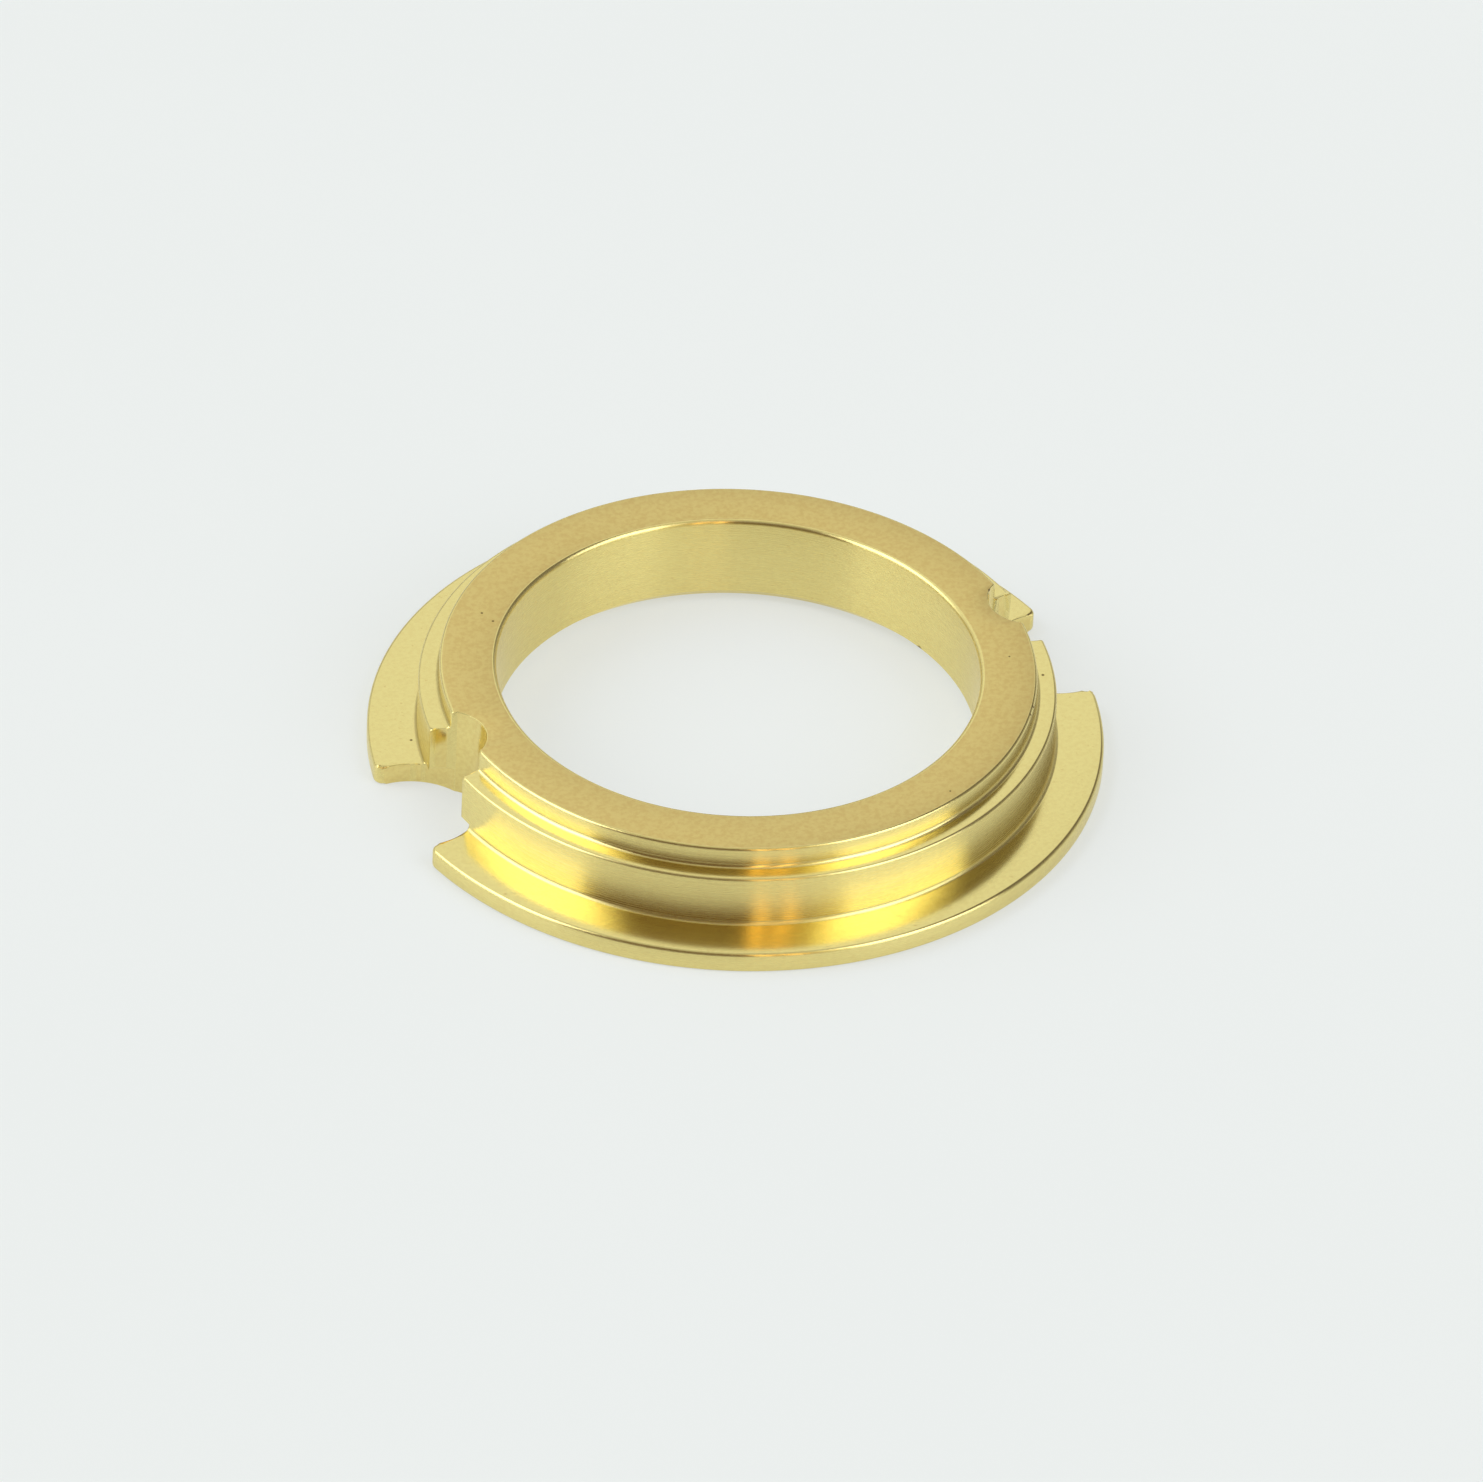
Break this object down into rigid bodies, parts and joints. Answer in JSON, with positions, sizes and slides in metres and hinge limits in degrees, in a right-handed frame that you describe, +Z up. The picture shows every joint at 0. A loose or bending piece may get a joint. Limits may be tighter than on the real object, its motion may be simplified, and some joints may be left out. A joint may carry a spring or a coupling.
{
  "type": "turned brass flange ring",
  "caption": "Low turned brass ring with a plain bore, a stepped neck, a thin foot flange and two opposed round-ended notches for screws or pins.",
  "frame": {"origin": "centre of the flange's underside, on the bore's axis", "axes": "+Z up the bore from the flange to the land, +X through one notch, +Y across the notches"},
  "size_m": [0.0196, 0.02, 0.0027],
  "materials": {
    "brass": "as turned, bright"
  },
  "bodies": {
    "root": {"flanged_ring": "brass"}
  },
  "joints": []
}
